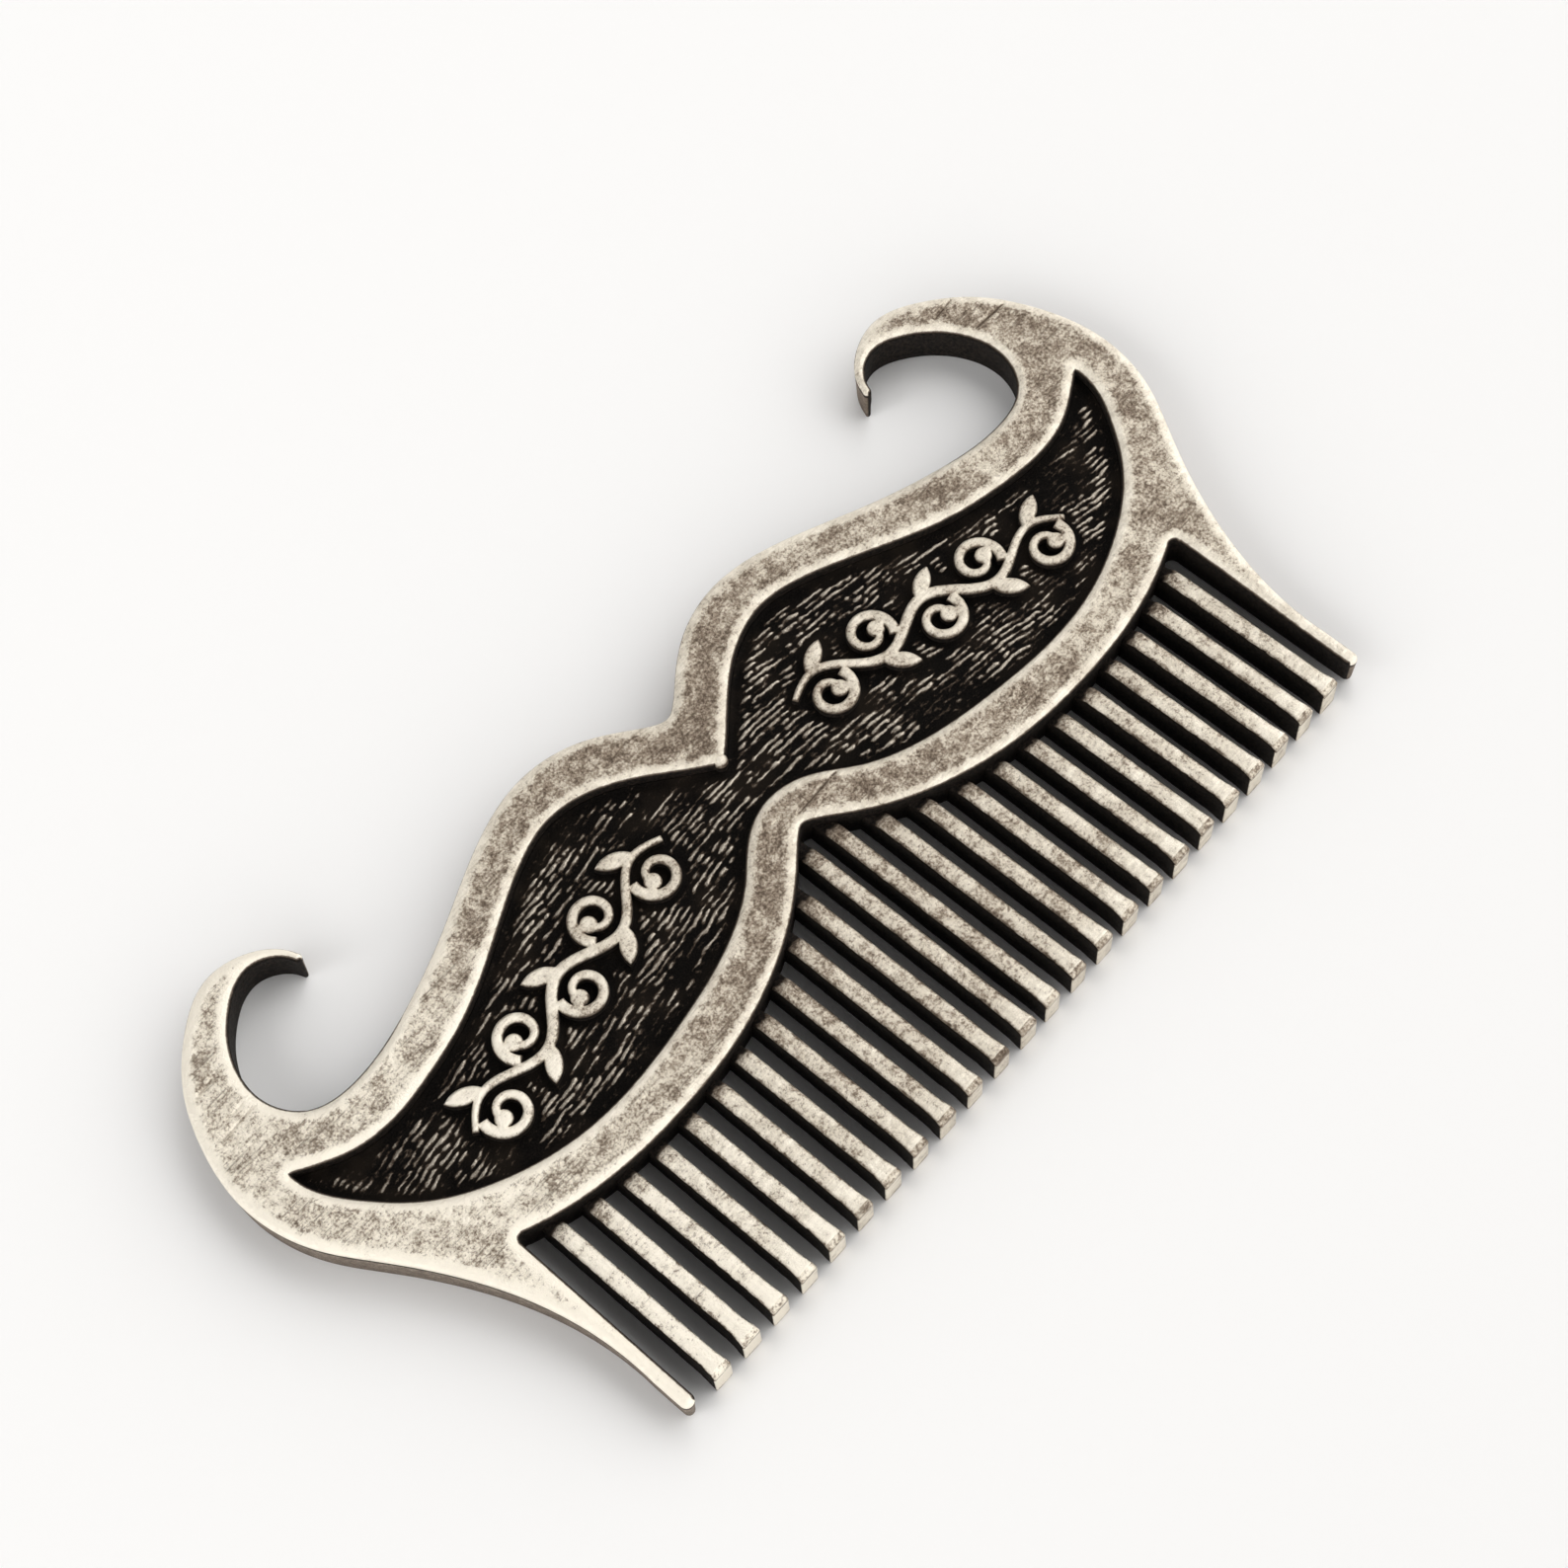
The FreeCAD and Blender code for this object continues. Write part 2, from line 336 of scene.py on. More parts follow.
def new_piece(node, points, triangles, material, slot, normals=None, **attributes):
    """A smooth-shaded piece from millimetre points, riding on the body in place of a CAD node."""
    name = node + "_cast"
    mesh = bpy.data.meshes.new(name)
    mesh.vertices.add(len(points))
    mesh.vertices.foreach_set("co", (np.asarray(points) * MM).astype(np.float32).ravel())
    mesh.loops.add(3 * len(triangles))
    mesh.loops.foreach_set("vertex_index", np.asarray(triangles, np.int32).ravel())
    mesh.polygons.add(len(triangles))
    mesh.polygons.foreach_set("loop_start", np.arange(len(triangles), dtype=np.int32) * 3)
    mesh.polygons.foreach_set("use_smooth", np.ones(len(triangles), bool))
    mesh.update(calc_edges=True)
    mesh.validate()
    for key, values in attributes.items():
        layer = mesh.attributes.new(key, "FLOAT", "POINT")
        layer.data.foreach_set("value", np.asarray(values, np.float32))
    if normals is not None:
        mesh.normals_split_custom_set_from_vertices(normals.astype(float).tolist())
    mesh.materials.append(material)
    piece = bpy.data.objects.new(name, mesh)
    bpy.context.scene.collection.objects.link(piece)
    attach(piece, BODY)
    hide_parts(node)


def strips(upper, lower, after):
    """Triangles between two rows of vertices that follow the same loops, facing out of the material."""
    a = upper
    b = upper[after]
    c = lower[after]
    d = lower
    return np.vstack([np.stack([a, d, b], axis=1), np.stack([b, d, c], axis=1)])


def skin(outline, face, top_count, wall_rows, cuts=()):
    """Triangles of a closed solid: its face, walls that go down from the face's edge, and a flat back.

    Each wall row has one point for each sample of the outline, and the rows follow the face's points."""
    samples = np.arange(len(outline.points))
    rows = [samples] + [top_count + row * len(samples) + samples for row in range(wall_rows)]
    walls = [strips(upper, lower, outline.after) for upper, lower in zip(rows, rows[1:])]
    return np.vstack([face] + walls + [rows[-1][flat_back(outline, cuts)]])


def loft(ring, count, first=0):
    """Triangles between rings that lie one after the other, each with the same number of points."""
    around = np.arange(ring)
    after = np.roll(around, -1)
    triangles = []
    for low in first + ring * np.arange(count - 1):
        high = low + ring
        triangles.append(np.stack([low + around, low + after, high + after], axis=1))
        triangles.append(np.stack([low + around, high + after, high + around], axis=1))
    return np.vstack(triangles)


def sub_mesh(points, triangles, values):
    """Only the vertices that the triangles use, with every per-vertex value array cut down to match."""
    used, index = np.unique(triangles, return_inverse=True)
    return points[used], index.reshape(triangles.shape), [value[used] for value in values]


def capped(points, triangles):
    """The triangles with every open edge loop closed by a flat cap."""
    directed = set()
    for a, b, c in triangles.tolist():
        directed.update([(a, b), (b, c), (c, a)])
    follow = {b: a for a, b in directed if (b, a) not in directed}
    caps = []
    while follow:
        start, here = follow.popitem()
        loop = [start]
        while here != start:
            loop.append(here)
            here = follow.pop(here)
        corners = [Vector(points[i]) for i in loop]
        turn = sum((corners[i - 1].cross(corners[i]) for i in range(len(corners))), Vector())
        for face in geometry.tessellate_polygon([corners]):
            a, b, c = (corners[i] for i in face)
            facing = (b - a).cross(c - a).dot(turn) > 0
            caps.append([loop[i] for i in (face if facing else face[::-1])])
    return np.vstack([triangles, np.array(caps, int).reshape(-1, 3)])


# ---------------------------------------------------------------- materials

class Shader:
    """Short ways to add and join shader nodes of one material."""

    def __init__(self, name):
        self.material = bpy.data.materials.new(name)
        self.material.use_nodes = True
        self.tree = self.material.node_tree
        self.surface = self.tree.nodes["Principled BSDF"]
        self.place = self.add("ShaderNodeTexCoord").outputs["Object"]

    def add(self, kind, **settings):
        node = self.tree.nodes.new(kind)
        for key, value in settings.items():
            setattr(node, key, value)
        return node

    def put(self, socket, value):
        """Joins an output to a socket, or sets the socket to a plain value."""
        if isinstance(value, bpy.types.NodeSocket):
            self.tree.links.new(value, socket)
        else:
            socket.default_value = value

    def attribute(self, name):
        return self.add("ShaderNodeAttribute", attribute_name=name).outputs["Fac"]

    def stretched(self, share):
        """The place, drawn out along X: features grow longer as share gets smaller."""
        node = self.add("ShaderNodeMapping", vector_type="POINT")
        self.put(node.inputs["Vector"], self.place)
        node.inputs["Scale"].default_value = (share, 1, 1)
        return node.outputs["Vector"]

    def noise(self, size_mm, detail, roughness, vector=None):
        """Noise around 0 whose features are about size_mm across."""
        node = self.add("ShaderNodeTexNoise")
        self.put(node.inputs["Vector"], self.place if vector is None else vector)
        node.inputs["Scale"].default_value = 1 / (size_mm * MM)
        node.inputs["Detail"].default_value = detail
        node.inputs["Roughness"].default_value = roughness
        return self.math("SUBTRACT", node.outputs["Fac"], 0.5)

    def math(self, operation, a, b=0.0):
        node = self.add("ShaderNodeMath", operation=operation)
        self.put(node.inputs[0], a)
        self.put(node.inputs[1], b)
        return node.outputs[0]

    def across(self):
        """The place's X in millimetres."""
        split = self.add("ShaderNodeSeparateXYZ")
        self.put(split.inputs[0], self.place)
        return self.math("DIVIDE", split.outputs["X"], MM)

    def sum(self, *terms):
        """The weighted sum of (value, weight) pairs."""
        total = 0.0
        for value, weight in terms:
            node = self.add("ShaderNodeMath", operation="MULTIPLY_ADD")
            self.put(node.inputs[0], value)
            self.put(node.inputs[1], weight)
            self.put(node.inputs[2], total)
            total = node.outputs[0]
        return total

    def ramp(self, value, low, high, to_low=0.0, to_high=1.0):
        """value mapped from low..high to to_low..to_high, held at both ends."""
        node = self.add("ShaderNodeMapRange", interpolation_type="SMOOTHSTEP")
        self.put(node.inputs["Value"], value)
        self.put(node.inputs["From Min"], low)
        self.put(node.inputs["From Max"], high)
        self.put(node.inputs["To Min"], to_low)
        self.put(node.inputs["To Max"], to_high)
        return node.outputs["Result"]

    def mix(self, share, a, b):
        """Colours a and b mixed by share."""
        node = self.add("ShaderNodeMix", data_type="RGBA")
        self.put(node.inputs[0], share)
        self.put(node.inputs[6], a)
        self.put(node.inputs[7], b)
        return node.outputs[2]

    def blend(self, share, a, b):
        """Numbers a and b mixed by share."""
        node = self.add("ShaderNodeMix", data_type="FLOAT")
        self.put(node.inputs[0], share)
        self.put(node.inputs[2], a)
        self.put(node.inputs[3], b)
        return node.outputs[0]

    def finish(self, colour, metallic, roughness, specular, relief, depth_mm):
        """Gives the surface its values, with relief as a bump depth_mm deep, and returns the material."""
        bump = self.add("ShaderNodeBump")
        bump.inputs["Distance"].default_value = depth_mm * MM
        self.put(bump.inputs["Height"], relief)
        inputs = self.surface.inputs
        self.put(inputs["Base Color"], colour)
        self.put(inputs["Metallic"], metallic)
        self.put(inputs["Roughness"], roughness)
        self.put(inputs["Specular IOR Level"], specular)
        self.put(inputs["Normal"], bump.outputs["Normal"])
        return self.material


DULL_SILVER = (0.52, 0.455, 0.365, 1)
PLAIN_SILVER = (0.74, 0.675, 0.565, 1)
RUBBED_AND_HIGHLIT_SILVER = (0.99, 0.925, 0.80, 1)
# the stain and crust colours below also paint the shade that grime carries
STAIN_AND_SHADE = (0.27, 0.205, 0.152, 1)
DEEP_STAIN_AND_SHADE = (0.10, 0.071, 0.05, 1)
CRUST_AND_SHADE = (0.005, 0.004, 0.0035, 1)
PALE_CRUST_AND_SHADE = (0.028, 0.021, 0.016, 1)
DRAWN_OUT = 0.045        # how much the fine lines along the comb are drawn out
SILVER_RELIEF = 0.05


def worn_silver():
    """Antique silver: bright where it is worn and where highlight is painted, speckled brown-grey where it
    isn't, black in the hollows and where shade is painted.

    Attribute wear is 1 on polished edges and also carries painted highlight on the tine tops, and grime is 1
    where the dark patina was never rubbed off and also carries painted shade under edges, on edges facing
    away from the light and down the walls."""
    s = Shader("worn_silver")
    wear = s.attribute("wear")
    grime = s.attribute("grime")
    patches = s.noise(2.6, 2.0, 0.55)
    clumps = s.noise(0.75, 3.0, 0.65)
    grain = s.noise(0.22, 4.0, 0.75)
    drawn = s.noise(0.15, 3.0, 0.7, vector=s.stretched(DRAWN_OUT))
    fine = s.noise(0.09, 2.0, 0.6)

    # Where it is rubbed: along edges; and painted light: a highlight growing towards the left end and shade
    # in the middle
    worn_and_highlit = s.ramp(wear, 0.15, 0.75)
    left_end_highlight = s.ramp(s.across(), -12.0, -34.0)
    middle_shade = s.ramp(s.math("ABSOLUTE", s.across()), 16.0, 5.0)

    # Where it is stained: speckles, fine lines along the comb, and everything near the patina and painted
    # shade of grime
    spread = s.sum((grain, 1.7), (clumps, 0.8), (patches, 0.5),
                   (worn_and_highlit, -0.34), (left_end_highlight, -0.12), (middle_shade, 0.07))
    soot_and_shade = s.sum((grime, 1.0), (grain, 0.5), (clumps, 0.3))
    lines = s.ramp(s.sum((drawn, 1.0), (patches, 0.4), (worn_and_highlit, -0.15)), 0.09, 0.2)
    stain_and_shade = s.math("MAXIMUM", s.ramp(spread, -0.2, 0.12), s.ramp(soot_and_shade, 0.22, 0.5))
    deep = s.math("MAXIMUM", s.ramp(spread, 0.08, 0.3), s.ramp(soot_and_shade, 0.35, 0.65))
    deep = s.math("MAXIMUM", deep, s.math("MULTIPLY", lines, 0.6))
    black = s.ramp(soot_and_shade, 0.62, 0.84)

    tone = s.sum((wear, 0.45), (left_end_highlight, 0.34), (middle_shade, -0.1),
                 (patches, -0.6), (clumps, -0.9), (drawn, -0.7), (fine, -0.5))
    silver = s.mix(s.ramp(tone, -0.2, 0.2), DULL_SILVER, PLAIN_SILVER)
    silver = s.mix(s.ramp(tone, 0.15, 0.6), silver, RUBBED_AND_HIGHLIT_SILVER)
    stained = s.mix(s.math("MULTIPLY", stain_and_shade, 0.8), silver, STAIN_AND_SHADE)
    stained = s.mix(s.math("MULTIPLY", deep, 0.85), stained, DEEP_STAIN_AND_SHADE)
    crust_and_shade = s.mix(s.ramp(grain, -0.1, 0.15), CRUST_AND_SHADE, PALE_CRUST_AND_SHADE)
    rough = s.blend(stain_and_shade, s.blend(worn_and_highlit, 0.38, 0.3), 0.52)
    relief = s.sum((fine, 0.8), (grain, -2.0), (deep, -0.7), (lines, -0.5),
                   (s.math("MULTIPLY", grain, black), 2.5))
    return s.finish(colour=s.mix(black, stained, crust_and_shade),
                    metallic=s.blend(black, s.blend(deep, 0.96, 0.75), 0.2),
                    roughness=s.blend(black, rough, 0.7),
                    specular=s.blend(black, 0.5, 0.15),
                    relief=relief, depth_mm=SILVER_RELIEF)


PATINA = (0.0015, 0.0012, 0.001, 1)
PATINA_SPECKLE = (0.007, 0.0057, 0.0047, 1)
PATINA_CLOUD = (0.018, 0.013, 0.009, 1)
CREST_HALO = (0.075, 0.055, 0.04, 1)
DULL_CREST = (0.28, 0.24, 0.195, 1)
CREST = (0.6, 0.545, 0.46, 1)
PATINA_RELIEF = 0.03


def dark_patina():
    """The recessed field: black-brown and matt, with the combed hair lines rubbed bright on their crests.

    Attribute crest is 1 along the top of a hair line."""
    s = Shader("dark_patina")
    broken = s.noise(0.3, 3.0, 0.7, vector=s.stretched(0.5))
    fine = s.noise(0.11, 3.0, 0.6)
    cloud = s.noise(3.0, 2.0, 0.5)
    raised = s.sum((s.attribute("crest"), 1.0), (broken, 1.2))
    rubbed = s.ramp(raised, 0.3, 0.6)
    ground = s.mix(s.ramp(fine, -0.15, 0.2), PATINA, PATINA_SPECKLE)
    ground = s.mix(s.ramp(cloud, -0.05, 0.2, 0.0, 0.5), ground, PATINA_CLOUD)
    ground = s.mix(s.ramp(raised, 0.12, 0.4), ground, CREST_HALO)
    metal = s.mix(s.ramp(s.sum((fine, 1.0), (cloud, 0.5)), -0.15, 0.15), DULL_CREST, CREST)
    return s.finish(colour=s.mix(rubbed, ground, metal),
                    metallic=s.blend(rubbed, 0.1, 0.92),
                    roughness=s.blend(rubbed, 0.72, 0.4),
                    specular=s.blend(rubbed, 0.05, 0.5),
                    relief=s.sum((fine, 0.5), (broken, 0.6)), depth_mm=PATINA_RELIEF)


# ---------------------------------------------------------------- rim and guard tines

RIM_GRID = 0.21
EDGE_ROUND = 0.85        # how far the rounded edge reaches in from the outline
EDGE_DROP = 0.44         # how far it falls
EDGE_RINGS = (0.02, 0.06, 0.12, 0.2, 0.3, 0.42, 0.56, 0.72, 0.9)
FACE_SINK = 0.05         # the middle of the rim's face lies this much lower than its edges
SWELL = 0.035
DENT = 0.02
PIT_DEPTH = 0.12
PIT_LEVEL = 0.35         # noise above this level makes a pit
WALL_LEAN = 0.12         # the walls draw in towards the back
WALL_UNEVEN = 0.03
WALL_ROWS = (0.02, 0.05, 0.09, 0.15, 0.25, 0.4, 0.55, 0.7, 0.85, 1.0)    # shares of the way down
BACK_ROUND = 0.4
BACK_ROWS = 4
GUARD_DROP = 0.55        # the guard tines' tops sink towards their tips
SCRATCHES = (            # start, end and depth of the deeper scratches, which run along the comb
    ((0.4, -0.35), (4.4, -0.2), 0.16), ((1.6, -1.0), (3.2, -0.95), 0.07),
    ((37.3, 18.6), (39.3, 18.8), 0.14), ((38.3, 15.75), (41.4, 15.6), 0.16),
    ((40.0, 6.6), (41.0, 5.4), 0.1), ((-5.6, 12.15), (-3.4, 12.4), 0.12),
    ((-40.8, 16.25), (-39.2, 16.4), 0.1), ((-41.3, 12.8), (-38.6, 13.0), 0.1),
    ((-40.4, 13.6), (-39.0, 13.65), 0.07), ((-36.5, 10.2), (-34.6, 10.3), 0.06))
SCRATCH_WIDTH = 0.13
SCRATCH_GRIME = 4.0      # for each millimetre of a scratch's depth
BAY_CENTRE = (33.2, 14.6)    # the middle of the space that the right hook curls round
BAY_REACH = 7.0
FAR_SIDE = (0.5, 0.86)   # edges that face this way, away from the light, get a thin line of painted shade
FAR_EDGE_SHADE = 0.6


def scratch_depth(points):
    return sum(depth * np.exp(-(segment_gap(points, start, end) / SCRATCH_WIDTH) ** 2)
               for start, end, depth in SCRATCHES)


def guard_sink(y):
    """How far the top of a guard tine lies below the rim's face."""
    return GUARD_DROP * smooth_step((GUARD_TOP - y) / (GUARD_TOP - TIP_LINE), 0.0, 1.0)


def rim_top(points, gap):
    """Height of the rim's face: a rounded edge, a slightly sunken middle, and the casting's unevenness."""
    t = np.clip(1 - gap / EDGE_ROUND, 0, 1)
    z = RIM_TOP - EDGE_DROP * (1 - np.sqrt(1 - t * t)) - FACE_SINK * smooth_step(gap, 0.8, 1.5)
    z -= np.where(points[:, 1] < GUARD_TOP, guard_sink(points[:, 1]), 0)
    flat = grounded(points)
    inner = smooth_step(gap, 0.1, 0.8)
    z += SWELL * noise_at(flat, 5.0, 1) * inner + DENT * rough_noise_at(flat, 1.2, 2) * (0.3 + 0.7 * inner)
    z -= PIT_DEPTH * np.clip(noise_at(flat, 0.8, 7) - PIT_LEVEL, 0, 1) * inner
    return z - scratch_depth(points)


def wall_grime(points, inward, field_side):
    """1 on walls that keep their black patina: round the field, between the tines and inside the hooks."""
    side = np.abs(points[:, 0])
    to_bay = np.array(BAY_CENTRE) - np.stack([side, points[:, 1]], axis=1)
    reach = np.linalg.norm(to_bay, axis=1)
    outward = -inward * np.stack([np.sign(points[:, 0]), np.ones(len(points))], axis=1)
    facing = (outward * to_bay).sum(axis=1) / np.maximum(reach, 1e-6)
    in_bay = smooth_step(facing, -0.1, 0.45) * (1 - smooth_step(reach, BAY_REACH - 1, BAY_REACH + 1))
    between = (points[:, 1] < 0.5) & (side < GUARD_INNER + 0.15)
    return np.maximum.reduce([in_bay, between.astype(float), field_side.astype(float)])


def casting_outline():
    """The comb's outer edge with the rim's inner edge, and the cuts where the guard tines begin."""
    outer = flat_face_loops(["moustache_rim", "left_guard_tine", "right_guard_tine"], RIM_TOP)[0]
    field = flat_face_loops(["field_floor"], FIELD_TOP)[0][::-1]
    outline = Outline([outer, field], OUTLINE_STEP)
    guard_outer = max(p[0] for p in outer if abs(p[1] - GUARD_TOP) < 0.01)
    cuts = [[outline.snap((side * x, GUARD_TOP)) for x in (GUARD_INNER, guard_outer)] for side in (-1, 1)]
    return outline, cuts


def back_rounding(outline, field_side):
    """At each sample, the radius of the back's rounded edge and how far the wall leans in.

    Both get smaller where the casting is thin, and there is neither round the field."""
    room = outline.room(0.6)
    radius = np.where(field_side, 0, np.minimum(BACK_ROUND, 0.75 * room))
    for _ in range(6):
        radius = (radius + radius[outline.after] + radius[outline.before]) / 3
        radius = np.where(field_side, 0, radius)
    return radius, np.where(field_side, 0, WALL_LEAN * np.clip(room / 0.3, 0, 1))


def casting_walls(outline, edge, dirt, field_side):
    """The rows of points from the face's edge down to the back, with their wear and grime, and painted
    shade: a dark line just under the edge and a darkening that grows towards the back.
    """
    radius, lean = back_rounding(outline, field_side)
    levels = [(t, 0.0) for t in WALL_ROWS]
    levels += [(1.0, angle) for angle in np.linspace(0, math.pi / 2, BACK_ROWS + 1)[1:]]
    rows = []
    for t, angle in levels:
        z = edge + (radius - edge) * t - radius * math.sin(angle)
        offset = lean * t + radius * (1 - math.cos(angle))
        spot = np.column_stack([outline.points + outline.inward * offset[:, None], z])
        if angle == 0:
            share = min(1.0, 4 * t * (1 - t) + 0.2) * (0.4 + 0.6 * dirt)
            push = WALL_UNEVEN * share * rough_noise_at(spot, 0.9, 4)
            spot[:, :2] += outline.inward * push[:, None]
        below = edge - z
        # painted shade: a dark line just under the face's edge, and every wall row darkened to at least
        # half, more towards the back
        crease_shade = smooth_step(below, 0.0, 0.1) * smooth_step(below, 0.5, 0.22)
        wear = 0.25 * (1 - dirt) * smooth_step(below, 0.1, 0.5)
        grime = np.maximum.reduce([1.2 * dirt, 0.9 * crease_shade, np.full(len(edge), 0.5 + 0.12 * t)])
        rows.append((spot, wear, grime))
    return rows


def face_grime(outline, flat, gap, near, dirt, field_side):
    """Grime and painted shade on the rim's face: a fringe beside dark walls, a thin painted shade line on
    edges facing away from the light, and the scratches.
    """
    fringe = 0.95 * dirt[near] * smooth_step(gap, 0.3, 0.0)
    away = smooth_step(-(outline.inward @ FAR_SIDE), 0.0, 0.5) * ~field_side
    far_edge_shade = FAR_EDGE_SHADE * away[near] * smooth_step(gap, 0.16, 0.0)
    return np.maximum.reduce([fringe, far_edge_shade, SCRATCH_GRIME * scratch_depth(flat)])


def build_casting(silver):
    """The rim with its hooks, and the two guard tines: one skin, then parted at the CAD's line."""
    outline, cuts = casting_outline()
    grooves = [(start, end) for start, end, depth in SCRATCHES]
    flat, face = fill(outline, EDGE_RINGS, RIM_GRID, cuts=cuts, grooves=grooves)
    gap, near = outline.distance(flat)
    samples = len(outline.points)
    gap[:samples] = 0
    top = np.column_stack([flat, rim_top(flat, gap)])
    field_side = np.arange(samples) >= len(outline.loops[0])
    dirt = wall_grime(outline.points, outline.inward, field_side)
    rows = [(top, smooth_step(gap, 1.3, 0.0), face_grime(outline, flat, gap, near, dirt, field_side))]
    rows += casting_walls(outline, top[:samples, 2], dirt, field_side)
    points, wear, grime = (np.concatenate(column) for column in zip(*rows))
    triangles = skin(outline, face, len(top), len(rows) - 1, cuts)
    values = [wear, grime, vertex_normals(points, triangles)]

    middle = points[triangles].mean(axis=1)
    beyond = (middle[:, 1] < GUARD_TOP) & (np.abs(middle[:, 0]) > GUARD_INNER - 0.35)
    parts = {"moustache_rim": ~beyond,
             "left_guard_tine": beyond & (middle[:, 0] < 0),
             "right_guard_tine": beyond & (middle[:, 0] > 0)}
    for node, chosen in parts.items():
        some, faces, (w, g, n) = sub_mesh(points, triangles[chosen], values)
        new_piece(node, some, capped(some, faces), silver, "worn_silver", normals=n, wear=w, grime=g)
    return outline


# ---------------------------------------------------------------- tines

TINE_STEP = 0.17         # between cross-sections
TINE_EDGE_ROUND = 0.3
TINE_CROWN = 0.05
TINE_BACK_ROUND = 0.2
TINE_FLARE = 0.12
FLARE_REACH = 0.9
TINE_RISE = 0.14         # a tine's top is this much higher at its tip than at its root
TOP_WAVE = 0.025
SIDE_WAVE = 0.02
TINE_LIFT = 0.05         # single tines lie up to this much higher or lower than the others
TINE_TILT = 0.03
ROOT_DIP = 0.5
ROOT_REACH = 0.55
TIP_ROUND = 0.1
TIP_BEVEL = 0.4
TIP_BEVEL_DROP = 0.26
TIP_STEPS = (0.0, 0.03, 0.07, 0.12, 0.2, 0.29, 0.37, 0.42)    # closer cross-sections at the tip
TIP_ZONE = 0.5           # where the evenly spaced ones start
EMBED = 0.45             # how far a tine runs into the rim
TINE_ROUGHNESS = 0.02


def arc_points(x, z, radius, first, last, steps):
    """Points round the centre (x, z), from the first angle to the last, in degrees."""
    angles = np.radians(np.linspace(first, last, steps + 1))
    return [(x + radius * math.cos(angle), z + radius * math.sin(angle)) for angle in angles]


def tine_section(half, top):
    """One closed cross-section: (x, z) points from the middle of the back, going to +X first."""
    inner = half - TINE_EDGE_ROUND
    right = arc_points(half - TINE_BACK_ROUND, TINE_BACK_ROUND, TINE_BACK_ROUND, -90, 0, 4)
    for t in np.linspace(0, 1, 8)[1:-1]:
        right.append((half, TINE_BACK_ROUND + (top - TINE_BACK_ROUND - TINE_EDGE_ROUND) * t))
    right += arc_points(inner, top - TINE_EDGE_ROUND, TINE_EDGE_ROUND, 0, 90, 5)
    for t in np.linspace(0, 1, 6)[1:-1]:
        right.append((inner * (1 - t), top + TINE_CROWN * t))
    left = [(-x, z) for x, z in reversed(right)]
    return np.array([(0, 0)] + right + [(0, top + TINE_CROWN)] + left)


def tine_skin(index, middle, half, length, ys, root_gap):
    """The tine's rings of points, one for each y, with the single tine's own height, tilt and flare."""
    rng = np.random.default_rng(400 + index)
    lift = rng.uniform(-TINE_LIFT, TINE_LIFT)
    tilt = rng.uniform(-TINE_TILT, TINE_TILT)
    flare = TINE_FLARE * rng.uniform(0.7, 1.3)
    top_wave = noise_at(np.column_stack([ys, np.full(len(ys), index * 3.1), np.zeros(len(ys))]), 2.3, 11)
    side_wave = noise_at(np.column_stack([ys, np.full(len(ys), index * 5.7), np.zeros(len(ys))]), 1.6, 12)
    sections = []
    for y, gap, up, out in zip(ys, root_gap, TOP_WAVE * top_wave, SIDE_WAVE * side_wave):
        from_tip = y - ys[0]
        rounding = TIP_ROUND - math.sqrt(max(0.0, TIP_ROUND ** 2 - max(0.0, TIP_ROUND - from_tip) ** 2))
        width = half + flare * math.exp(-(from_tip / FLARE_REACH) ** 2) + out - rounding
        top = TINE_TOP + TINE_RISE * (0.4 - from_tip / length) + lift + up - rounding
        top -= ROOT_DIP * math.exp(-(gap / ROOT_REACH) ** 2)
        top -= TIP_BEVEL_DROP * max(0.0, 1 - from_tip / TIP_BEVEL)
        x, z = tine_section(width, top).T
        back = z < TINE_BACK_ROUND
        z = z + tilt * x * (z > 1)
        z = np.where(back, np.maximum(z, 0) + rounding * (1 - z / TINE_BACK_ROUND), z)
        sections.append(np.column_stack([middle + x, np.full(len(x), y), z]))
    return sections


def tine_patina(from_tip, below, height, gap, rough):
    """Wear, grime and painted light: a painted highlight along the top, black patina sides, pale ends with a
    painted shade line under the top edge and painted shade towards the bottom, and a dark root.
    """
    side = smooth_step(below + 0.06 * rough, 0.13, 0.27)
    end = smooth_step(from_tip, 0.16, 0.02)
    # painted shade: a dark line just under the top edge of the end face, and the end darker towards the
    # bottom
    line = smooth_step(below, 0.05, 0.12) * smooth_step(below, 0.42, 0.2)
    end_grime = 0.08 + 0.7 * line + 0.3 * smooth_step(height, 0.8, 0.1)
    root = smooth_step(gap + 0.25 * rough, 0.95, 0.25)
    grime = np.maximum(side * (1 - end) + end * side * end_grime, root)
    # painted highlight: the top is brightest along its crown and fades towards the rounded edges
    wear = smooth_step(below, 0.2, 0.04) * (0.45 + 0.5 * smooth_step(from_tip, 3.5, 0.3)) * (1 - side)
    wear *= smooth_step(gap + 0.3 * rough, 0.4, 2.2) * (1 - 0.7 * smooth_step(from_tip, 0.42, 0.36))
    return np.maximum(wear, 0.7 * end * side * (1 - line)), grime


